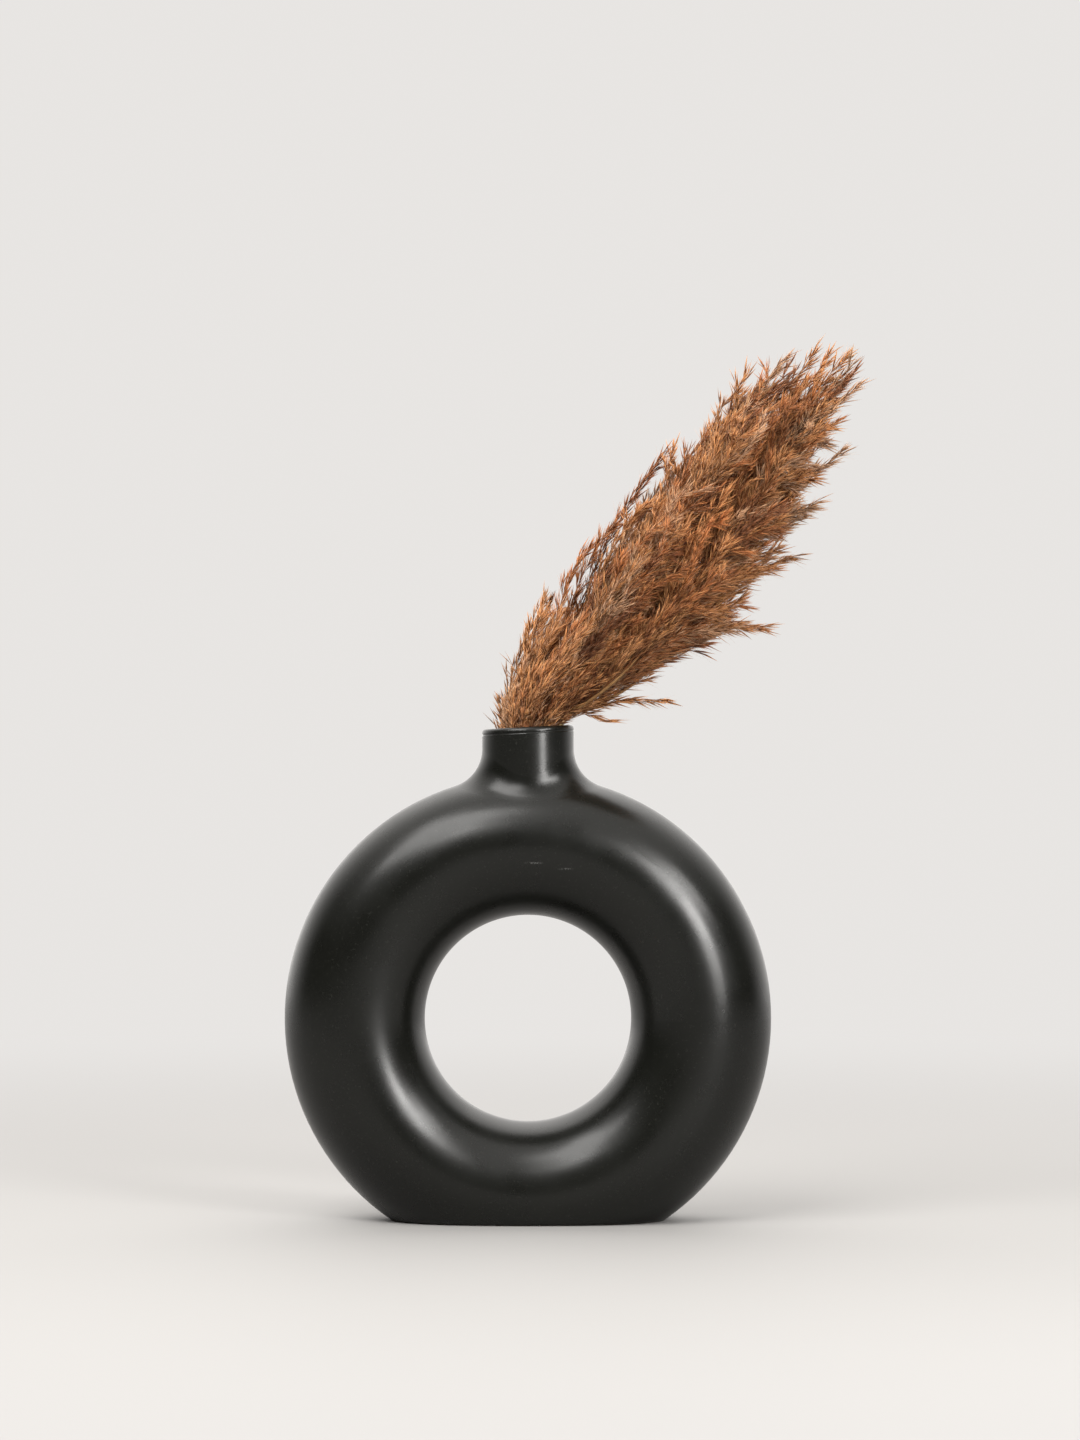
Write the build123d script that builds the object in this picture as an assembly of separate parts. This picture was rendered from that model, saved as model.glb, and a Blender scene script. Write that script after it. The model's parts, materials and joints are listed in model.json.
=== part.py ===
from build123d import *
import math
import os

# A ring-shaped vase of dark fired clay, with a short round neck and a flat foot, that holds
# five cut stems of dried reed grass leaning to +X. Millimetres, +Z up, the front faces -Y.
# The origin is the middle of the flat foot.

# Vase: driving dimensions
ring_mid_radius = 89.0  # from the ring's centre to the middle of its round tube
tube_radius = 36.0
ring_centre_height = 103.5
wall = 4.5
floor_thickness = 6.0
foot_edge_round = 5.0
neck_radius = 23.6
bore_radius = 19.2
rim_height = 253.0  # at the neck's axis
rim_tilt = 3.0  # degrees; the hand-cut rim is a little higher towards +X
shoulder_round = 20.0  # concave blend between neck and ring
inner_shoulder_round = 9.0
lip_outer_round = 1.9
lip_inner_round = 1.5
lip_groove_depth = 0.35  # a fine line under the rolled lip
lip_groove_radius = 0.7
lip_groove_drop = 2.9  # below the rim's plane
neck_trim = 10.0  # the neck is made this much too tall and cut off on a slant

# Grass: driving dimensions
grass_lean = 38.5  # degrees from vertical, towards +X
grass_pivot_height = 239.0  # the bunch's middle line crosses the neck's axis here
stalk_radius = 1.5
stalk_taper = 0.85  # top radius over bottom radius
stalk_reach = 184.0  # from the pivot down to the cut end, just short of the far wall
stalk_knot_rise = 0.35  # how far a knot of the reed stands out
stalk_knot_width = 2.2
stalk_knots = (58.0, 128.0)  # from the cut end
plume_start = 29.0  # along the bunch's middle line, from the pivot
plume_spread_length = 46.0  # the plumes part from each other over this length
plume_spread = 23.0  # from the bunch's middle line to the middle of a plume
plume_gap = 0.7  # half the gap between neighbouring plumes
plume_end_radius = 1.9
# share of the length, and fullness there as a share of the widest that the wedge allows
plume_form = ((0, 0), (0.05, 0.5), (0.13, 0.85), (0.25, 1), (0.45, 1), (0.7, 0.9), (0.88, 0.6), (1, 0))

# name, bearing about the middle line, distance of the stalk from that line, plume length
# A bearing of 0 points down and towards +X, and 90 points to +Y.
stems = (
    ("right", 18.0, 3.8, 192.0),
    ("back", 90.0, 5.4, 222.0),
    ("left", 162.0, 3.8, 212.0),
    ("front_left", 234.0, 5.4, 190.0),
    ("front_right", 306.0, 5.4, 233.0),
)

stem_share = 360.0 / len(stems)  # each stem keeps to its own wedge around the middle line
bunch_frame = Plane(
    origin=(0, 0, grass_pivot_height),
    x_dir=(math.cos(math.radians(grass_lean)), 0, -math.sin(math.radians(grass_lean))),
    z_dir=(math.sin(math.radians(grass_lean)), 0, math.cos(math.radians(grass_lean))),
)


def ring(radius):
    """The ring's round tube with the given section radius, standing upright."""
    return Pos(0, 0, ring_centre_height) * Rot(90, 0, 0) * Torus(ring_mid_radius, radius)


def above(height):
    """Everything over a height, as a box larger than the vase."""
    size = 2 * rim_height
    return Pos(0, 0, height + size / 2) * Box(size, size, size)


def lies_on_neck(edge, radius):
    """Whether an edge's middle is on an upright cylinder of this radius."""
    middle = edge.position_at(0.5)
    return abs(math.hypot(middle.X, middle.Y) - radius) < 0.05


def with_neck(body, radius, top, blend):
    """A ring body joined to an upright cylinder, with a round blend where they meet."""
    start = ring_centre_height + ring_mid_radius
    neck = Pos(0, 0, (start + top) / 2) * Cylinder(radius, top - start)
    joined = body + neck
    seam = [
        edge
        for edge in joined.edges()
        if start < edge.position_at(0.5).Z < top - 1
        and edge.geom_type != GeomType.LINE
        and lies_on_neck(edge, radius)
    ]
    return joined.fillet(blend, seam)


def rim_edges(vase):
    """The closed edges of the rim's flat top, the inner one first."""
    top_face = vase.faces().filter_by(GeomType.PLANE).sort_by(Axis.Z)[-1]
    return sorted(top_face.edges(), key=lambda edge: edge.length)


def make_vase():
    """One hollow fired piece: ring, foot, neck and rolled lip."""
    untrimmed_top = rim_height + neck_trim
    outside = with_neck(ring(tube_radius), neck_radius, untrimmed_top, shoulder_round)
    outside = outside & above(0)
    foot_edges = outside.faces().sort_by(Axis.Z)[0].edges()
    outside = outside.fillet(foot_edge_round, foot_edges)

    hollow = with_neck(ring(tube_radius - wall), bore_radius, untrimmed_top, inner_shoulder_round)
    hollow = hollow & above(floor_thickness)

    rim_plane = Pos(0, 0, rim_height) * Rot(0, -rim_tilt, 0)
    cut_off = rim_plane * Pos(0, 0, 2 * neck_trim) * Box(4 * neck_radius, 4 * neck_radius, 4 * neck_trim)
    groove_ring = neck_radius + lip_groove_radius - lip_groove_depth
    groove = rim_plane * Pos(0, 0, -lip_groove_drop) * Torus(groove_ring, lip_groove_radius)

    vase = outside - hollow - cut_off
    vase = vase.fillet(lip_inner_round, rim_edges(vase)[:1])
    vase = vase.fillet(lip_outer_round, rim_edges(vase)[-1:])
    return vase - groove


def outward(bearing, distance):
    """A place in the bunch's own frame, across its middle line."""
    turn = math.radians(bearing)
    return distance * math.cos(turn), distance * math.sin(turn)


def make_stalk(bearing, offset):
    """A straight reed culm with two knots, cut square at its lower end."""
    length = stalk_reach + plume_start
    top_radius = stalk_radius * stalk_taper

    def radius_at(height):
        return stalk_radius + (top_radius - stalk_radius) * height / length

    outline = [(0, 0), (stalk_radius, 0)]
    for knot in stalk_knots:
        radius = radius_at(knot)
        outline.append((radius, knot - stalk_knot_width / 2))
        outline.append((radius + stalk_knot_rise, knot))
        outline.append((radius, knot + stalk_knot_width / 2))
    outline += [(top_radius, length), (0, length)]
    profile = Plane.XZ * make_face(Polyline(*outline, close=True))
    culm = revolve(profile, Axis.Z)
    across, sideways = outward(bearing, offset)
    return bunch_frame * Pos(across, sideways, -stalk_reach) * culm


def make_plume(bearing, offset, length):
    """The outer form of one panicle, inside its own wedge of the bunch."""
    half_share = math.sin(math.radians(stem_share / 2))
    sections = []
    for station, full in plume_form:
        along = station * length
        parted = math.sin(min(along / plume_spread_length, 1.0) * math.pi / 2)
        distance = offset + (plume_spread - offset) * parted
        widest = distance * half_share - plume_gap
        radius = max(plume_end_radius, widest * full)
        across, sideways = outward(bearing, distance)
        section = Pos(across, sideways, plume_start + along) * Circle(radius)
        sections.append(bunch_frame * section)
    return loft(sections, ruled=True)


os.makedirs("parts", exist_ok=True)
export_step(make_vase(), "parts/vase.step")
for name, bearing, offset, length in stems:
    export_step(make_stalk(bearing, offset), f"parts/stalk_{name}.step")
    export_step(make_plume(bearing, offset, length), f"parts/plume_{name}.step")
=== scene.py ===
import json
import math
from collections import namedtuple

import bpy
import numpy as np
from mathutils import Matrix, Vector


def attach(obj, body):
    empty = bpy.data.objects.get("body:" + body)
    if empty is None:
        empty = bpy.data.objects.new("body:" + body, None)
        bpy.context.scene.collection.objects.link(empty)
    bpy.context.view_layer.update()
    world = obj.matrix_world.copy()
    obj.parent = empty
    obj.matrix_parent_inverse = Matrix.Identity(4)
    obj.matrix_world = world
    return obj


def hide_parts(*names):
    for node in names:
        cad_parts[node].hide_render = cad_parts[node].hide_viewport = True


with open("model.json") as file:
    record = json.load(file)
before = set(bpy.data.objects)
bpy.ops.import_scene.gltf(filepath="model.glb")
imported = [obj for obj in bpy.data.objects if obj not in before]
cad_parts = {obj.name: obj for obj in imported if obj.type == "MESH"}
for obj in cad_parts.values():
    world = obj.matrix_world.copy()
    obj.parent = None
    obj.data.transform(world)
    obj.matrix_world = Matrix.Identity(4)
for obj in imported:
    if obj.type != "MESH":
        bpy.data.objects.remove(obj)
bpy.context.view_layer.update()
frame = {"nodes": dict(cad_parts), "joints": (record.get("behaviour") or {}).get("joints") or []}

# The looks of a dark ring vase with five stems of dried reed grass. Metres, +Z up.
# The grass is grown stem by stem: a rachis, its branches, and on them branchlets, spikelets and silk.

# ---- the vase, in the frame
RING_CENTRE = Vector((0.0, 0.0, 0.1035))
RING_MID_RADIUS = 0.089
TUBE_RADIUS = 0.036
BORE_RADIUS = 0.0192
RIM_HEIGHT = 0.253

# ---- the bunch: its middle line leans to +X, and each stem keeps to its own side of it
PIVOT = np.array([0.0, 0.0, 0.239])  # where the middle line crosses the neck's axis
ALONG = np.array(frame["joints"][0]["axis"], float)
ACROSS = np.array([ALONG[2], 0.0, -ALONG[0]])  # square to it, down and towards +X
SIDEWAYS = np.array([0.0, 1.0, 0.0])
UP = np.array([0.0, 0.0, 1.0])

STALK_REACH = 0.184  # from the pivot down to the cut end
STALK_KNOTS = (0.058, 0.128)  # from the cut end
PLUME_START = 0.029  # from the pivot
PLUME_SPREAD_LENGTH = 0.046
PLUME_SPREAD = 0.023
PLUME_CLOSING = 9.0  # towards their tips the plumes close in, by a share of this times the length squared
RACHIS_RISE = 0.145  # and curve up a little, by this times the length squared

# bearing in degrees round the middle line, distance of the stalk from it, plume length, random seed
Stem = namedtuple("Stem", "bearing offset length seed")
STEMS = {
    "right": Stem(18.0, 0.0038, 0.192, 11),
    "back": Stem(90.0, 0.0054, 0.222, 12),
    "left": Stem(162.0, 0.0038, 0.212, 13),
    "front_left": Stem(234.0, 0.0054, 0.190, 14),
    "front_right": Stem(306.0, 0.0054, 0.224, 15),
}

# long branches placed one by one: the root along the stem, then the tip's place along, across
# and sideways of the middle line, and how far on the branch starts to turn to it
STRAYS = {
    "right": (
        (0.026, (0.063, 0.034, -0.006), 0.25),
        (0.022, (0.036, 0.018, -0.002), 0.70),
        (0.044, (0.122, 0.050, -0.010), 0.62),
        (0.050, (0.118, 0.043, 0.004), 0.62),
        (0.095, (0.160, 0.040, 0.006), 0.45),
        (0.125, (0.187, 0.033, 0.002), 0.45),
        (0.150, (0.219, 0.029, 0.004), 0.45),
    ),
    "front_right": (
        (0.044, (0.110, 0.037, -0.018), 0.60),
        (0.090, (0.148, 0.036, -0.014), 0.45),
        (0.120, (0.184, 0.031, -0.012), 0.45),
        (0.070, (0.136, 0.003, -0.033), 0.50),
        (0.095, (0.164, -0.003, -0.028), 0.50),
        (0.145, (0.216, -0.008, -0.020), 0.50),
        (0.185, (0.256, 0.006, -0.008), 0.45),
        (0.185, (0.249, 0.014, -0.004), 0.45),
    ),
    "left": (
        (0.060, (0.158, -0.041, 0.004), 0.55),
        (0.030, (0.118, -0.039, -0.002), 0.55),
        (0.034, (0.098, -0.041, 0.004), 0.55),
        (0.150, (0.237, -0.024, 0.006), 0.55),
    ),
    "front_left": (
        (0.014, (0.056, -0.037, -0.008), 0.55),
        (0.050, (0.118, 0.001, -0.032), 0.50),
        (0.085, (0.152, 0.002, -0.030), 0.50),
        (0.110, (0.205, -0.022, -0.012), 0.55),
    ),
    "back": (
        (0.165, (0.248, -0.013, 0.012), 0.50),
        (0.170, (0.253, -0.006, 0.004), 0.50),
        (0.180, (0.258, 0.001, 0.008), 0.50),
        (0.160, (0.246, 0.004, 0.010), 0.50),
    ),
}

# how each plume branches
BRANCH_NODES = 28  # along each rachis, with three or four branches at each
FIRST_NODE = PLUME_START - 0.012
LAST_NODE_BELOW_TIP = 0.043
NODE_CROWDING = 0.95  # below 1 the nodes crowd a little towards the tip
TIP_BRANCH = 0.036  # a branch's length near the plume's tip
FOOT_BRANCH_EXTRA = 0.030  # and how much longer it is at the plume's foot
LONG_BRANCH_SHARE = 0.25
LONG_VIGOUR, USUAL_VIGOUR = (0.95, 1.12), (0.6, 0.9)  # shares of that length
OWN_SIDE_FAVOUR = (-0.4, 0.9)  # how much a branch turns to its stem's side of the bunch
FAVOUR_FADE = 0.6  # and how much of that is gone at the tip
BRANCH_OPENING = (12.0, 30.0)  # degrees from the bunch's direction
BRANCH_WAVE = 0.0030
BRANCH_STEP = 0.0046  # between the branchlets along a branch
HANG_TILT, HANG_SCATTER = 7.0, 7.0  # degrees that a branch ends tilted, and their spread
HANG_RIGHT, HANG_LEFT = 620.0, 330.0  # more degrees for each metre across
HANG_SIDEWAYS, SIDEWAYS_SCATTER = 2.5, 0.08  # for each metre sideways, and the spread
SKIRT_BRANCHES = 16
SKIRT_RADIUS = 0.0150  # where the lower branches cross the rim
SKIRT_ROOTS = (-0.024, -0.006)  # along the stem, from the pivot
SKIRT_LENGTHS = (0.030, 0.062)  # past the rim
SKIRT_FANNING = np.array([0.6, 6.5, 0.0])  # how their place in the mouth turns them apart
RACHIS_BELOW_TIP = 0.012
RACHIS_STATIONS = 24
RACHIS_WIDTHS = (0.0024, 0.0006)
TWIG_WIDTHS = (0.0006, 0.0002)
BRANCHLET_WIDTH = 0.00024
BRANCHLET_LENGTH = 0.0145  # at a branch's foot
BRANCHLET_SHORTENING = 0.0080  # by its tip
BRANCHLET_VARIETY = (0.55, 1.25)
LOOSENESS = (0.6, 1.6)  # of a whole branch
BRANCHLET_TILT = (5, 19)  # degrees off the branch, times its looseness
SPIKELET_PLACES = (0.15, 0.32, 0.49, 0.66, 0.83, 1.0)  # shares of a branchlet
SPIKELET_LENGTHS = (0.0050, 0.0120)
SPIKELET_WIDTHS = (0.00035, 0.00105)
SPIKELET_TILT = (2, 22)  # degrees off the branchlet
SILK_LENGTHS = (0.006, 0.011)
SILK_WIDTH = 0.00013
SILK_TILT = (6, 30)  # degrees off the spikelet

# dry grass colours, linear: at a sliver's root and at its tip, and how common the pair is; the dark roots
# are partly the grass's own colour and partly painted shade in the gaps between spikelets
TONES = {
    "golden": ((0.140, 0.039, 0.008), (0.83, 0.405, 0.165), 0.47),
    "russet": ((0.110, 0.026, 0.005), (0.58, 0.235, 0.086), 0.25),
    "plum": ((0.066, 0.017, 0.005), (0.42, 0.165, 0.068), 0.12),
    "straw": ((0.155, 0.056, 0.018), (0.80, 0.490, 0.290), 0.16),
}
RACHIS_STRAW = (0.36, 0.20, 0.08)
SILK_WHITE = np.array([0.72, 0.58, 0.46])
LEFT_SIDE = -0.010  # across the bunch: branches that end beyond it carry paler silk
SILK_OF_TIP = 0.80  # how much of its spikelets' tip colour silk has
LEFT_PALENESS, PALENESS = 0.42, 0.12  # and how much of the white
# painted shade: branchlets, spikelets and silk are darkened towards a branch's foot, deep inside the plume,
# and lighter by its tip
FOOT_SHADE, TIP_LIGHTENING = 0.55, 0.68  # a branch is dark at its foot and lighter by its tip
DARKEST, BRIGHTEST = 0.004, 0.90  # of a tint's colour values


# ---- material helpers
def new_material(name):
    """An empty node material and its Principled shader."""
    material = bpy.data.materials.new(name)
    material.use_nodes = True
    tree = material.node_tree
    tree.nodes.clear()
    output = tree.nodes.new("ShaderNodeOutputMaterial")
    shader = tree.nodes.new("ShaderNodeBsdfPrincipled")
    tree.links.new(shader.outputs["BSDF"], output.inputs["Surface"])
    return material, tree, shader


def object_place(tree):
    """The object's own coordinates."""
    return tree.nodes.new("ShaderNodeTexCoord").outputs["Object"]


def noise(tree, scale, detail=3.0, place=None):
    """Noise over the object's own coordinates, or over another place."""
    node = tree.nodes.new("ShaderNodeTexNoise")
    node.inputs["Scale"].default_value = scale
    node.inputs["Detail"].default_value = detail
    tree.links.new(place or object_place(tree), node.inputs["Vector"])
    return node.outputs["Fac"]


def ramp(tree, value, stops):
    """A colour ramp from (position, colour) stops."""
    node = tree.nodes.new("ShaderNodeValToRGB")
    elements = node.color_ramp.elements
    while len(elements) < len(stops):
        elements.new(0.5)
    for element, (position, colour) in zip(elements, stops):
        element.position = position
        element.color = (*colour, 1.0)
    tree.links.new(value, node.inputs["Fac"])
    return node.outputs["Color"]


def spread(tree, value, low_in, high_in, low_out=0.0, high_out=1.0):
    """Maps a value's range smoothly onto another, held within it."""
    node = tree.nodes.new("ShaderNodeMapRange")
    node.interpolation_type = "SMOOTHSTEP"
    node.inputs["From Min"].default_value = low_in
    node.inputs["From Max"].default_value = high_in
    node.inputs["To Min"].default_value = low_out
    node.inputs["To Max"].default_value = high_out
    tree.links.new(value, node.inputs["Value"])
    return node.outputs["Result"]


def connect(tree, value, socket):
    """Links a socket, or sets a constant."""
    if isinstance(value, bpy.types.NodeSocket):
        tree.links.new(value, socket)
    elif isinstance(value, tuple) and socket.type == "RGBA":
        socket.default_value = (*value, 1.0)
    else:
        socket.default_value = value


def mix(tree, share, first, second, kind="MIX"):
    """Mixes two colours by a share."""
    node = tree.nodes.new("ShaderNodeMix")
    node.data_type = "RGBA"
    node.blend_type = kind
    for value, socket in ((share, node.inputs[0]), (first, node.inputs[6]), (second, node.inputs[7])):
        connect(tree, value, socket)
    return node.outputs[2]


def math_node(tree, operation, first, second):
    """One arithmetic step on two numbers."""
    node = tree.nodes.new("ShaderNodeMath")
    node.operation = operation
    connect(tree, first, node.inputs[0])
    connect(tree, second, node.inputs[1])
    return node.outputs["Value"]


def vector_node(tree, operation, first, second):
    """One step on two vectors."""
    node = tree.nodes.new("ShaderNodeVectorMath")
    node.operation = operation
    connect(tree, first, node.inputs[0])
    connect(tree, second, node.inputs[1])
    return node


def bump(tree, shader, layers):
    """Stacks bumps from (height, strength, distance) layers onto the shader."""
    normal = None
    for height, strength, distance in layers:
        node = tree.nodes.new("ShaderNodeBump")
        node.inputs["Strength"].default_value = strength
        node.inputs["Distance"].default_value = distance
        tree.links.new(height, node.inputs["Height"])
        if normal is not None:
            tree.links.new(normal, node.inputs["Normal"])
        normal = node.outputs["Normal"]
    tree.links.new(normal, shader.inputs["Normal"])


# ---- materials: colours are linear
CLAY_DARK, CLAY_LIGHT = (0.0036, 0.0038, 0.0027), (0.0054, 0.0057, 0.0042)
CLAY_FLECK = (0.014, 0.0145, 0.012)
CLAY_SCUFF = (0.17, 0.17, 0.165)
CLAY_BARE = (0.125, 0.100, 0.078)
SATIN_ROUGHNESS = (0.25, 0.31)
SCUFF_COVER = 0.45  # how much of the clay's colour a scuff hides
SCUFF_ROUGHNESS = 0.6
BARE_ROUGHNESS = 0.85
CLAY_SPECULAR = 0.30
BARE_BELOW = (0.0002, 0.0007)  # the height over which the foot's bare clay turns satin
STRAW_DARK, STRAW_LIGHT = (0.34, 0.215, 0.088), (0.46, 0.32, 0.150)
STRAW_BLOTCH = (0.25, 0.13, 0.05)
STRAW_KNOT = (0.13, 0.060, 0.022)
STRAW_ROUGHNESS = 0.42
KNOT_BAND = (0.0003, 0.0016)  # from a knot's middle, where its dark colour fades out
GRASS_MOTTLE = (0.74, 0.68, 0.62)
GRASS_SPECULAR = 0.15
TWIG_ROUGHNESS, SPIKELET_ROUGHNESS, SILK_ROUGHNESS = 0.6, 0.5, 0.6


def on_ring(x, z, side):
    """The place on the ring's tube at x and z, on its front (-1) or its back (1)."""
    from_mid = math.hypot(x, z - RING_CENTRE.z) - RING_MID_RADIUS
    return (x, side * math.sqrt(TUBE_RADIUS**2 - from_mid**2), z)


# place, then size along X, Y and Z: small pale scuffs where the satin surface was rubbed
SCUFFS = (
    (on_ring(0.003, 0.184, -1), (0.0060, 0.004, 0.0007)),
    (on_ring(0.019, 0.181, -1), (0.0050, 0.004, 0.0008)),
    (on_ring(0.093, 0.142, -1), (0.0012, 0.004, 0.0030)),
    (on_ring(0.099, 0.109, -1), (0.0008, 0.004, 0.0016)),
    (on_ring(-0.070, 0.160, 1), (0.0040, 0.004, 0.0009)),
    (on_ring(0.060, 0.050, 1), (0.0010, 0.004, 0.0028)),
)


def scuff_mask(tree):
    """Where the scuffs are, broken up by fine noise."""
    place = object_place(tree)
    total = None
    for centre, size in SCUFFS:
        offset = vector_node(tree, "SUBTRACT", place, centre).outputs["Vector"]
        scaled = vector_node(tree, "DIVIDE", offset, size).outputs["Vector"]
        reach = vector_node(tree, "LENGTH", scaled, (0.0, 0.0, 0.0)).outputs["Value"]
        near = spread(tree, reach, 0.2, 1.0, 1.0, 0.0)
        total = near if total is None else math_node(tree, "MAXIMUM", total, near)
    return math_node(tree, "MULTIPLY", total, spread(tree, noise(tree, 1400.0, 2.0), 0.42, 0.62))


def clay_material():
    """Dark satin clay with fine speckle, soft waves, a few pale scuffs and a bare, paler foot."""
    material, tree, shader = new_material("dark_clay")
    tone = ramp(tree, noise(tree, 13.0), [(0.3, CLAY_DARK), (0.7, CLAY_LIGHT)])
    fleck = spread(tree, noise(tree, 950.0, 2.0), 0.62, 0.72)
    speckled = mix(tree, fleck, tone, CLAY_FLECK)
    scuffs = scuff_mask(tree)
    rubbed = mix(tree, math_node(tree, "MULTIPLY", scuffs, SCUFF_COVER), speckled, CLAY_SCUFF)
    height = tree.nodes.new("ShaderNodeSeparateXYZ")
    tree.links.new(object_place(tree), height.inputs["Vector"])
    bare = spread(tree, height.outputs["Z"], *BARE_BELOW, 1.0, 0.0)
    tree.links.new(mix(tree, bare, rubbed, CLAY_BARE), shader.inputs["Base Color"])

    satin = spread(tree, noise(tree, 40.0, 5.0), 0.3, 0.7, *SATIN_ROUGHNESS)
    worn = math_node(tree, "MAXIMUM", satin, math_node(tree, "MULTIPLY", scuffs, SCUFF_ROUGHNESS))
    dry = math_node(tree, "MULTIPLY", bare, BARE_ROUGHNESS)
    tree.links.new(math_node(tree, "MAXIMUM", worn, dry), shader.inputs["Roughness"])
    shader.inputs["Specular IOR Level"].default_value = CLAY_SPECULAR
    bump(tree, shader, [
        (noise(tree, 18.0, 1.0), 0.35, 0.0008),
        (noise(tree, 130.0, 3.0), 0.10, 0.0002),
        (noise(tree, 900.0, 3.0), 0.10, 0.00005),
    ])
    return material


def straw_material():
    """The reed's culm: pale gold with fine lengthwise fibres, and darker at its knots."""
    material, tree, shader = new_material("reed_stalk")
    place = object_place(tree)
    lengthwise = vector_node(tree, "DOT_PRODUCT", place, tuple(ALONG)).outputs["Value"]
    across = vector_node(tree, "DOT_PRODUCT", place, tuple(ACROSS)).outputs["Value"]
    sideways = vector_node(tree, "DOT_PRODUCT", place, tuple(SIDEWAYS)).outputs["Value"]
    fibre_place = tree.nodes.new("ShaderNodeCombineXYZ")
    tree.links.new(across, fibre_place.inputs["X"])
    tree.links.new(sideways, fibre_place.inputs["Y"])
    tree.links.new(math_node(tree, "MULTIPLY", lengthwise, 0.02), fibre_place.inputs["Z"])
    fibre = noise(tree, 2600.0, 3.0, fibre_place.outputs["Vector"])
    gold = ramp(tree, fibre, [(0.3, STRAW_DARK), (0.7, STRAW_LIGHT)])
    colour = mix(tree, spread(tree, noise(tree, 45.0), 0.5, 0.75, 0.0, 0.35), gold, STRAW_BLOTCH)
    cut_end = float(PIVOT @ ALONG) - STALK_REACH
    for knot in STALK_KNOTS:
        away = math_node(tree, "ABSOLUTE", math_node(tree, "SUBTRACT", lengthwise, cut_end + knot), 0.0)
        colour = mix(tree, spread(tree, away, *KNOT_BAND, 0.85, 0.0), colour, STRAW_KNOT)
    tree.links.new(colour, shader.inputs["Base Color"])
    shader.inputs["Roughness"].default_value = STRAW_ROUGHNESS
    bump(tree, shader, [(fibre, 0.15, 0.0001)])
    return material


def grass_material(name, roughness):
    """Dry plant matter, coloured by the tint that each sliver carries, with painted shade darkening it
    towards roots and branch feet, and with fine mottling.
    """
    material, tree, shader = new_material(name)
    tint = tree.nodes.new("ShaderNodeAttribute")
    tint.attribute_name = "tint"
    shade = ramp(tree, noise(tree, 160.0, 3.0), [(0.32, GRASS_MOTTLE), (0.68, (1.0, 1.0, 1.0))])
    tree.links.new(mix(tree, 1.0, tint.outputs["Color"], shade, "MULTIPLY"), shader.inputs["Base Color"])
    shader.inputs["Roughness"].default_value = roughness
    shader.inputs["Specular IOR Level"].default_value = GRASS_SPECULAR
    return material


# ---- grass geometry
def unit(vectors):
    """The same directions at length one."""
    return vectors / np.linalg.norm(vectors, axis=-1, keepdims=True)


def outward(bearing):
    """The direction across the bunch at a bearing."""
    turn = math.radians(bearing)
    return math.cos(turn) * ACROSS + math.sin(turn) * SIDEWAYS


def in_bunch(along, across, sideways):
    """The place at distances along, across and sideways of the bunch's middle line."""
    return PIVOT + along * ALONG + across * ACROSS + sideways * SIDEWAYS


def rachis_point(stem, along):
    """A place on a stem's own line, at a distance along the bunch from the pivot."""
    bearing, offset = STEMS[stem].bearing, STEMS[stem].offset
    parted = math.sin(min(max((along - PLUME_START) / PLUME_SPREAD_LENGTH, 0.0), 1.0) * math.pi / 2)
    grown = max(along - PLUME_START, 0.0) ** 2
    distance = (offset + (PLUME_SPREAD - offset) * parted) * (1 - PLUME_CLOSING * grown)
    risen = RACHIS_RISE * grown
    return PIVOT + along * ALONG + distance * outward(bearing) - risen * ACROSS


GRASS_IN_BORE = BORE_RADIUS - 0.002
ON_RIM = BORE_RADIUS + 0.002  # low grass farther out than this is lifted over the rim
OVER_RIM = RIM_HEIGHT + 0.003
LEAN = ALONG[0] / ALONG[2]


def clear_of_neck(points):
    """Moves grass off the clay: into the bore with room to slide out, or above the rim."""
    moved = points.copy()
    x, y, z = points.T
    radius = np.hypot(x, y)
    low = z < OVER_RIM
    outside = low & (radius > ON_RIM)
    moved[outside, 2] = OVER_RIM
    inside = low & ~outside
    squeeze = np.minimum(1.0, GRASS_IN_BORE / np.maximum(radius, 1e-6))
    moved[inside, 0] *= squeeze[inside]
    moved[inside, 1] *= squeeze[inside]
    farthest = GRASS_IN_BORE - (OVER_RIM - z) * LEAN
    moved[inside, 0] = np.minimum(moved[inside, 0], farthest[inside])
    return moved


# rings of a sliver: share of its length, share of its width
SPIKELET_FORM = ((0.0, 0.0), (0.38, 1.0), (1.0, 0.0))
THREAD_FORM = ((0.0, 1.0), (1.0, 0.0))
ROD_FORM = ((0.0, 1.0), (1.0, 0.95))


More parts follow.
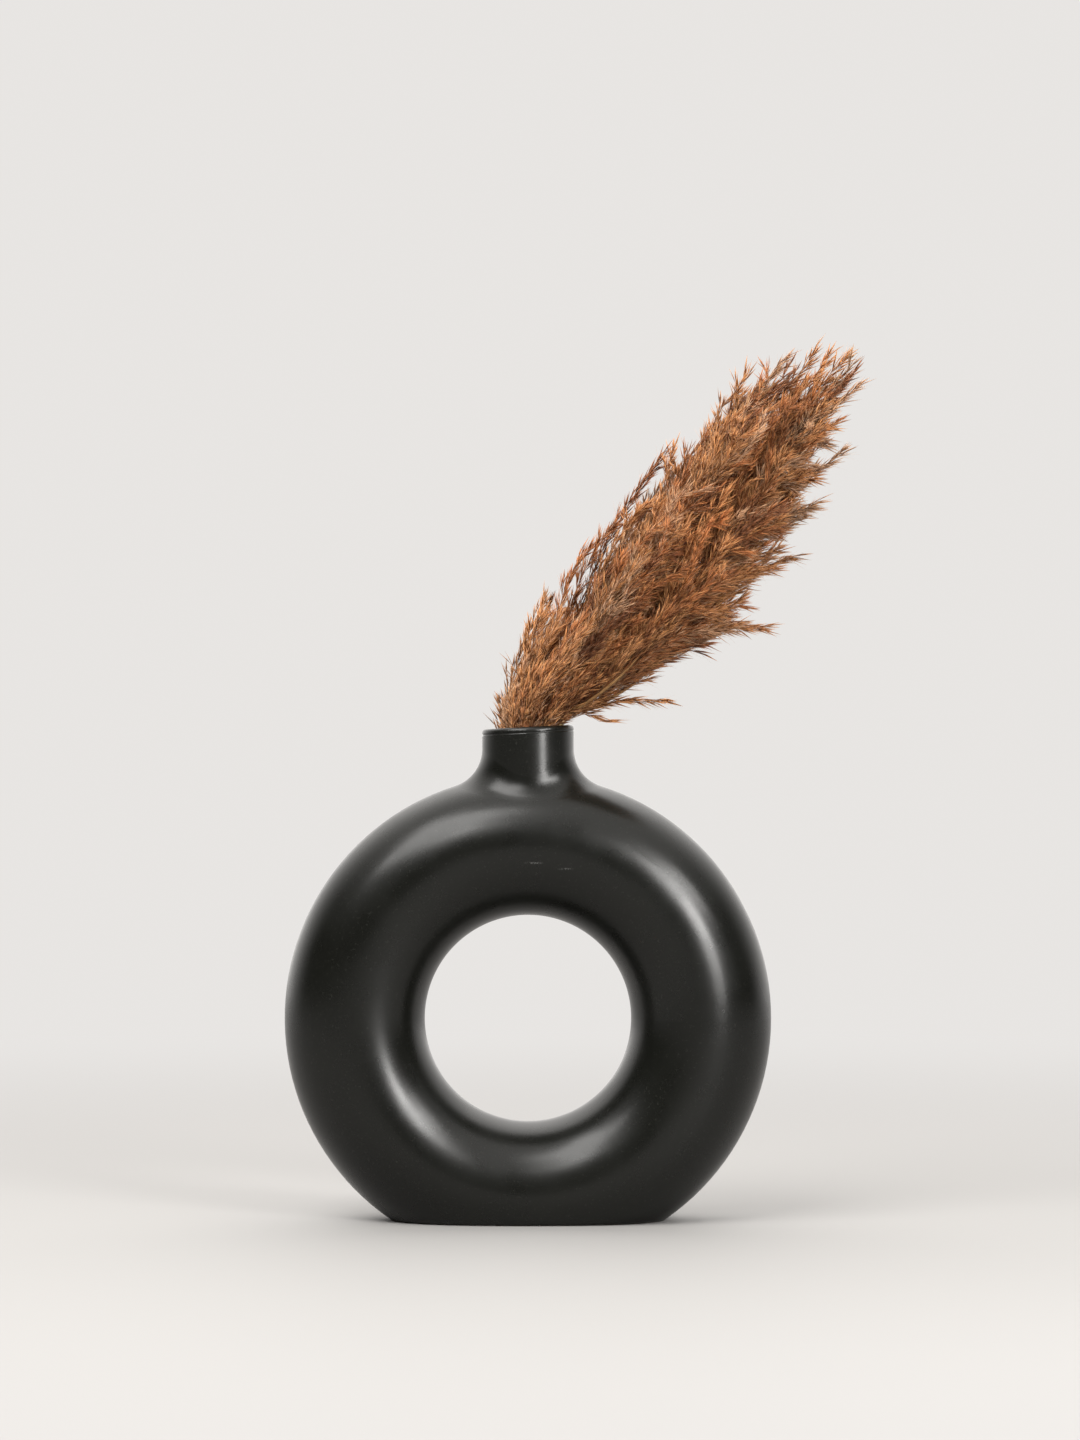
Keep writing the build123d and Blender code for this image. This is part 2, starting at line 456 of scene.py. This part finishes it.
class Slivers:
    """Collects many thin three-sided forms and builds them as one mesh."""

    def __init__(self):
        self.points, self.faces, self.tints, self.count = [], [], [], 0

    def add(self, starts, ends, widths, root_tints, tip_tints, form, sag=0.0):
        """Adds a sliver from each start to each end, with rings as form says and its tip hanging by sag."""
        starts, ends = clear_of_neck(starts), clear_of_neck(ends)
        span = ends - starts
        direction = unit(span)
        upright = np.abs(direction[:, 2:3]) > 0.9
        side = unit(np.cross(direction, np.where(upright, ALONG, UP)))
        other = np.cross(direction, side)
        rings, tints = [], []
        for share, width in form:
            middle = starts + share * span - (sag * share**2 * np.linalg.norm(span, axis=1))[:, None] * UP
            tint = root_tints + share * (tip_tints - root_tints)
            turns = np.arange(3 if width else 1) * 2 * math.pi / 3
            for turn in turns:
                reach = (widths * width / 2)[:, None]
                rings.append(middle + reach * (math.cos(turn) * side + math.sin(turn) * other))
                tints.append(tint)
        number, per_sliver = len(starts), len(rings)
        first_corners = self.count + np.arange(number) * per_sliver
        faces = np.array(self.sides(form))[None] + first_corners[:, None, None]
        self.points.append(np.stack(rings, 1).reshape(-1, 3))
        self.tints.append(np.stack(tints, 1).reshape(-1, 3))
        self.faces.append(faces.reshape(-1, 3))
        self.count += number * per_sliver

    @staticmethod
    def sides(form):
        """The triangles between one sliver's rings, by the place of each corner in it."""
        faces = []
        begin = 0
        for (_, near), (_, far) in zip(form, form[1:]):
            step = 3 if near else 1
            for corner in range(3):
                after = (corner + 1) % 3
                if not near:
                    faces.append((begin, begin + step + after, begin + step + corner))
                elif not far:
                    faces.append((begin + corner, begin + after, begin + step))
                else:
                    faces.append((begin + corner, begin + after, begin + step + corner))
                    faces.append((begin + after, begin + step + after, begin + step + corner))
            begin += step
        return faces

    def build(self, name, material):
        """Makes the mesh object, with the slivers' colours in its tint attribute."""
        points = np.concatenate(self.points)
        corners = np.concatenate(self.faces)
        tints = np.concatenate(self.tints)
        mesh = bpy.data.meshes.new(name)
        mesh.vertices.add(len(points))
        mesh.vertices.foreach_set("co", points.ravel())
        mesh.loops.add(corners.size)
        mesh.loops.foreach_set("vertex_index", corners.ravel().astype(np.int32))
        mesh.polygons.add(len(corners))
        mesh.polygons.foreach_set("loop_start", np.arange(0, corners.size, 3, dtype=np.int32))
        mesh.polygons.foreach_set("loop_total", np.full(len(corners), 3, np.int32))
        mesh.polygons.foreach_set("use_smooth", np.ones(len(corners), bool))
        mesh.update(calc_edges=True)
        tint = mesh.attributes.new("tint", "FLOAT_COLOR", "POINT")
        tint.data.foreach_set("color", np.column_stack([tints, np.ones(len(tints))]).ravel())
        mesh.materials.append(material)
        piece = bpy.data.objects.new(name, mesh)
        bpy.context.scene.collection.objects.link(piece)
        return piece


def cone(rng, axes, low, high):
    """Directions tilted from axes by angles between low and high degrees, at random bearings."""
    side = unit(np.cross(axes, rng.normal(size=axes.shape)))
    tilt = np.radians(rng.uniform(low, high, len(axes)))[:, None]
    return np.cos(tilt) * axes + np.sin(tilt) * side


def bowed(root, first, last, length, steps):
    """A curve that leaves root towards first and ends heading towards last."""
    share = ((np.arange(steps) + 0.5) / steps)[:, None]
    heading = unit(first * (1 - share) + last * share)
    return np.vstack([root, root + np.cumsum(heading, axis=0) * length / steps])


def wavy(rng, path, size):
    """The same curve with a slow random wave that grows towards its tip."""
    share = np.linspace(0, 1, len(path))[:, None]
    turns = rng.uniform(0, 2 * math.pi, (2, 3))
    slow = np.sin(5.0 * share + turns[0]) - np.sin(turns[0])
    quick = np.sin(11.0 * share + turns[1]) - np.sin(turns[1])
    return path + size * share * (slow + 0.5 * quick)


def bezier(root, control, tip, steps):
    """A quadratic curve from root to tip."""
    share = np.linspace(0, 1, steps + 1)[:, None]
    return (1 - share) ** 2 * root + 2 * share * (1 - share) * control + share**2 * tip


def hang(rng, place):
    """The way a branch ends at a place: steep on the left, drooping on the right, and spread sideways."""
    across = float((place - PIVOT) @ ACROSS)
    slope = HANG_RIGHT if across > 0 else HANG_LEFT
    tilt = math.radians(HANG_TILT + slope * across + rng.normal(0, HANG_SCATTER))
    sideways = HANG_SIDEWAYS * place[1] + rng.normal(0, SIDEWAYS_SCATTER)
    return unit(math.cos(tilt) * ALONG + math.sin(tilt) * ACROSS + sideways * SIDEWAYS)


def steps_for(length):
    """How many steps a branch of this length is made of."""
    return max(5, round(length / BRANCH_STEP))


def narrowing(across):
    """The share of its opening that a branch keeps: least on the bunch's right, where it hangs over."""
    return 1 - 0.62 * abs(across) - 0.20 * across


def panicle_branches(rng, stem):
    """The branches round the rachis, long at its foot and short at its tip."""
    paths = []
    last_node = PLUME_START + STEMS[stem].length - LAST_NODE_BELOW_TIP
    for share in np.linspace(0, 1, BRANCH_NODES) ** NODE_CROWDING:
        root = rachis_point(stem, FIRST_NODE + share * (last_node - FIRST_NODE))
        for _ in range(3 + (share < 0.5)):
            turn = rng.uniform(0, 360.0)
            favour = rng.uniform(*OWN_SIDE_FAVOUR) * (1 - FAVOUR_FADE * share)
            around = unit(outward(turn) + favour * outward(STEMS[stem].bearing))
            vigour = rng.uniform(*(LONG_VIGOUR if rng.random() < LONG_BRANCH_SHARE else USUAL_VIGOUR))
            reach = vigour * (TIP_BRANCH + FOOT_BRANCH_EXTRA * (1 - share))
            opening = math.radians(rng.uniform(*BRANCH_OPENING) * narrowing(float(around @ ACROSS)))
            first = math.cos(opening) * ALONG + math.sin(opening) * around
            last = hang(rng, root + reach * first)
            paths.append(wavy(rng, bowed(root, first, last, reach, steps_for(reach)), BRANCH_WAVE))
    return paths


def skirt_branches(rng, stem):
    """Lower branches that leave the stalk inside the neck, fill the mouth and rise steeply over it."""
    paths = []
    for _ in range(SKIRT_BRANCHES):
        turn = rng.uniform(0, 2 * math.pi)
        radius = SKIRT_RADIUS * math.sqrt(rng.uniform(0.1, 1.0))
        at_rim = np.array([radius * math.cos(turn), radius * math.sin(turn), OVER_RIM])
        root = rachis_point(stem, rng.uniform(*SKIRT_ROOTS))
        first = unit(at_rim - root)
        leaning = unit(0.55 * first + 0.45 * ALONG + SKIRT_FANNING * at_rim)
        reach = rng.uniform(*SKIRT_LENGTHS)
        start = bezier(root, root + 0.5 * (at_rim - root), at_rim, steps_for(at_rim[2] - root[2]))
        last = hang(rng, at_rim + reach * leaning)
        paths.append(np.vstack([start[:-1], bowed(at_rim, leaning, last, reach, steps_for(reach))]))
    return paths


def stray_branches(stem):
    """The stem's long branches that stand clear of the bunch."""
    paths = []
    for root_along, tip_place, turn_at in STRAYS[stem]:
        root = rachis_point(stem, root_along)
        tip = in_bunch(*tip_place)
        reach = float(np.linalg.norm(tip - root))
        droops = tip_place[1] > 0
        control = root + turn_at * reach * ALONG if droops else tip - (1 - turn_at) * reach * ALONG
        paths.append(bezier(root, control, tip, steps_for(reach)))
    return paths


def pick_tone(rng):
    """Root and tip colours for one branch."""
    pairs = list(TONES.values())
    chosen = pairs[rng.choice(len(pairs), p=[pair[2] for pair in pairs])]
    bright = math.exp(rng.normal(0, 0.20))
    return bright * np.array(chosen[0]), bright * np.array(chosen[1])


def shades(rng, colour, number, vary):
    """A colour repeated with a little change in brightness and warmth."""
    bright = 1 + rng.normal(0, vary, (number, 1))
    warmth = 1 + rng.normal(0, 0.05, (number, 1)) * np.array([[0.3, 0.0, -1.0]])
    toned = np.maximum(colour * bright * warmth, DARKEST)
    return toned / np.maximum(toned.max(axis=1, keepdims=True) / BRIGHTEST, 1.0)


class Panicle:
    """One stem's grass, dressed branch by branch."""

    def __init__(self, rng):
        self.rng = rng
        self.wood, self.fluff, self.silk = Slivers(), Slivers(), Slivers()

    def add_rachis(self, stem):
        """The reed's tapering main axis inside its plume."""
        end = PLUME_START + STEMS[stem].length - RACHIS_BELOW_TIP
        stations = np.linspace(PLUME_START, end, RACHIS_STATIONS)
        spine = np.array([rachis_point(stem, along) for along in stations])
        widths = np.linspace(*RACHIS_WIDTHS, len(spine) - 1)
        straw = np.tile(RACHIS_STRAW, (len(spine) - 1, 1))
        self.wood.add(spine[:-1], spine[1:], widths, straw, straw, ROD_FORM)

    def add_branch(self, path):
        """A branch with branchlets along it that get shorter and closer-lying towards its tip."""
        rng = self.rng
        root_tone, tip_tone = pick_tone(rng)
        number = len(path) - 1
        bark = shades(rng, 0.5 * root_tone + 0.3 * tip_tone, number, vary=0.1)
        self.wood.add(path[:-1], path[1:], np.linspace(*TWIG_WIDTHS, number), bark, bark, ROD_FORM)

        heading = unit(np.gradient(path, axis=0))
        places = np.repeat(np.arange(1, number + 1), 2)
        share = places / number
        starts = path[places]
        variety = rng.uniform(*BRANCHLET_VARIETY, len(places))
        lengths = (BRANCHLET_LENGTH - BRANCHLET_SHORTENING * share) * variety
        looseness = rng.uniform(*LOOSENESS)
        spread_out = cone(rng, heading[places], *(tilt * looseness for tilt in BRANCHLET_TILT))
        settled = unit(spread_out + 0.18 * share[:, None] * heading[places])
        ends = starts + lengths[:, None] * settled
        # painted shade: darker towards the branch's foot inside the plume, lighter by its tip
        painted_foot_shade = (FOOT_SHADE + TIP_LIGHTENING * share)[:, None]
        on_left = float((path[-1] - PIVOT) @ ACROSS) < LEFT_SIDE
        silk_tone = SILK_OF_TIP * tip_tone + (LEFT_PALENESS if on_left else PALENESS) * SILK_WHITE
        self.add_branchlets(starts, ends, painted_foot_shade * root_tone, painted_foot_shade * tip_tone, painted_foot_shade * silk_tone)

    def add_branchlets(self, starts, ends, root_tone, tip_tone, silk_tone):
        """Branchlets with spikelets on alternate sides, and silk from the spikelets' roots."""
        rng = self.rng
        number = len(starts)
        starts, ends = clear_of_neck(starts), clear_of_neck(ends)
        bark = shades(rng, 0.6 * root_tone + 0.25 * tip_tone, number, vary=0.1)
        self.wood.add(starts, ends, np.full(number, BRANCHLET_WIDTH), bark, bark, THREAD_FORM)
        axes = unit(ends - starts)
        for share in SPIKELET_PLACES:
            roots = starts + share * (ends - starts)
            direction = cone(rng, axes, *SPIKELET_TILT)
            size = rng.uniform(*SPIKELET_LENGTHS, number)
            tips = roots + size[:, None] * direction
            # the spikelets' dark roots hold painted shade from the gaps between them, as well as their own
            # colour
            root_tints = shades(rng, root_tone, number, vary=0.22)
            tip_tints = shades(rng, tip_tone, number, vary=0.26)
            widths = rng.uniform(*SPIKELET_WIDTHS, number)
            self.fluff.add(roots, tips, widths, root_tints, tip_tints, SPIKELET_FORM, sag=0.10)
            threads = cone(rng, direction, *SILK_TILT)
            reach = rng.uniform(*SILK_LENGTHS, number)
            pale = shades(rng, silk_tone, number, vary=0.12)
            silk_ends = roots + reach[:, None] * threads
            silk_widths = np.full(number, SILK_WIDTH)
            self.silk.add(roots, silk_ends, silk_widths, pale, pale, THREAD_FORM, sag=0.12)


def grow_plume(stem, twig, spikelet, silk):
    """One dried panicle as three pieces: its twigs, its spikelets and its silk."""
    rng = np.random.default_rng(STEMS[stem].seed)
    panicle = Panicle(rng)
    panicle.add_rachis(stem)
    for path in panicle_branches(rng, stem) + skirt_branches(rng, stem) + stray_branches(stem):
        panicle.add_branch(path)
    twigs = panicle.wood.build(f"twigs_{stem}", twig)
    spikelets = panicle.fluff.build(f"spikelets_{stem}", spikelet)
    threads = panicle.silk.build(f"silk_{stem}", silk)
    for piece in (twigs, spikelets, threads):
        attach(piece, f"stem_{stem}")
    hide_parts(f"plume_{stem}")


# ---- the studio
PALE = (0.805, 0.785, 0.765)
FLOOR_COLOUR = (0.31, 0.303, 0.295)
FLOOR_RADIUS = 12.0
FLOOR_ROUGHNESS = 0.75
FADE_START, FADE_END = 0.15, 1.5  # from the vase
GLOW_BEHIND = (0.05, 2.0)  # the backdrop's light, from the front round to behind
GLOW_ABOVE = (0.0, 2.2)  # and what it adds from low to high
LIGHT_COLOUR = (1.0, 0.985, 0.965)


def make_floor():
    """A plain pale floor under the foot that fades into the backdrop's colour far from the vase."""
    bpy.ops.mesh.primitive_circle_add(vertices=96, radius=FLOOR_RADIUS, fill_type="NGON")
    floor = bpy.context.object
    floor.name = "floor"
    material, tree, shader = new_material("pale_floor")
    shader.inputs["Base Color"].default_value = (*FLOOR_COLOUR, 1.0)
    shader.inputs["Roughness"].default_value = FLOOR_ROUGHNESS
    glow = tree.nodes.new("ShaderNodeEmission")
    glow.inputs["Color"].default_value = (*PALE, 1.0)
    fade = tree.nodes.new("ShaderNodeMixShader")
    away = vector_node(tree, "LENGTH", object_place(tree), (0.0, 0.0, 0.0)).outputs["Value"]
    tree.links.new(spread(tree, away, FADE_START, FADE_END), fade.inputs[0])
    tree.links.new(shader.outputs["BSDF"], fade.inputs[1])
    tree.links.new(glow.outputs["Emission"], fade.inputs[2])
    tree.links.new(fade.outputs["Shader"], tree.nodes["Material Output"].inputs["Surface"])
    floor.data.materials.append(material)


def make_world():
    """A pale backdrop. It lights the vase strongly from behind and above, and little from the front."""
    world = bpy.data.worlds.new("studio")
    bpy.context.scene.world = world
    world.use_nodes = True
    tree = world.node_tree
    background = tree.nodes["Background"]
    place = tree.nodes.new("ShaderNodeTexCoord").outputs["Generated"]
    axes = tree.nodes.new("ShaderNodeSeparateXYZ")
    tree.links.new(place, axes.inputs["Vector"])
    behind = spread(tree, axes.outputs["Y"], 0.0, 0.75, *GLOW_BEHIND)
    above = spread(tree, axes.outputs["Z"], 0.35, 0.95, *GLOW_ABOVE)
    glow = math_node(tree, "ADD", behind, above)
    seen = tree.nodes.new("ShaderNodeLightPath").outputs["Is Camera Ray"]
    strength = tree.nodes.new("ShaderNodeMix")
    for value, socket in ((seen, strength.inputs[0]), (glow, strength.inputs[2]), (1.0, strength.inputs[3])):
        connect(tree, value, socket)
    background.inputs["Color"].default_value = (*PALE, 1.0)
    tree.links.new(strength.outputs[0], background.inputs["Strength"])


def softbox(name, azimuth, elevation, distance, size, radiance, gloss_only=False):
    """A rectangular light that faces the vase from degrees right of the camera and above the level."""
    target = RING_CENTRE + Vector((0.0, 0.0, 0.04))
    turn, rise = math.radians(azimuth), math.radians(elevation)
    direction = Vector((math.sin(turn) * math.cos(rise), -math.cos(turn) * math.cos(rise), math.sin(rise)))
    data = bpy.data.lights.new(name, "AREA")
    data.shape = "RECTANGLE"
    data.size, data.size_y = size
    data.energy = radiance * math.pi * size[0] * size[1]
    data.color = LIGHT_COLOUR
    light = bpy.data.objects.new(name, data)
    light.visible_diffuse = not gloss_only
    light.visible_camera = False
    light.location = target + distance * direction
    light.rotation_euler = (-direction).to_track_quat("-Z", "Y").to_euler()
    bpy.context.scene.collection.objects.link(light)


def make_lights():
    """Softboxes right of the camera and high on its left, with small ones that only add gloss."""
    softbox("key", 34.0, 22.0, 2.2, (0.65, 0.6), 23.0)
    softbox("key_gleam", 49.0, 30.0, 2.1, (0.6, 0.5), 15.0, gloss_only=True)
    softbox("neck_gleam", 37.0, 10.0, 0.75, (0.14, 0.22), 28.0, gloss_only=True)
    softbox("fill", -37.0, 51.0, 2.0, (1.2, 1.0), 9.5)
    softbox("fill_gleam", -16.0, 36.0, 2.1, (0.5, 0.35), 11.0, gloss_only=True)


def make_camera():
    """The photograph's view: from the front, level with the neck."""
    distance = 2.2
    height = 0.236
    metres_per_frame_height = 0.7407
    aim = Vector((0.0062, 0.0, 0.2567))
    data = bpy.data.cameras.new("camera")
    data.sensor_width = 36.0
    data.lens = data.sensor_width * distance / metres_per_frame_height
    camera = bpy.data.objects.new("camera", data)
    camera.location = (aim.x, -distance, height)
    camera.rotation_euler = (aim - camera.location).to_track_quat("-Z", "Y").to_euler()
    bpy.context.scene.collection.objects.link(camera)
    bpy.context.scene.camera = camera


def dress_cad(name, material):
    """Gives a CAD node its finish."""
    for material_slot in frame["nodes"][name].material_slots:
        material_slot.material = material


make_camera()
make_world()
make_floor()
make_lights()
bpy.context.scene.view_settings.view_transform = "Standard"

dress_cad("vase", clay_material())
straw = straw_material()
twig = grass_material("reed_twig", TWIG_ROUGHNESS)
spikelet = grass_material("reed_spikelet", SPIKELET_ROUGHNESS)
silk = grass_material("reed_silk", SILK_ROUGHNESS)
for stem in STEMS:
    dress_cad(f"stalk_{stem}", straw)
    grow_plume(stem, twig, spikelet, silk)
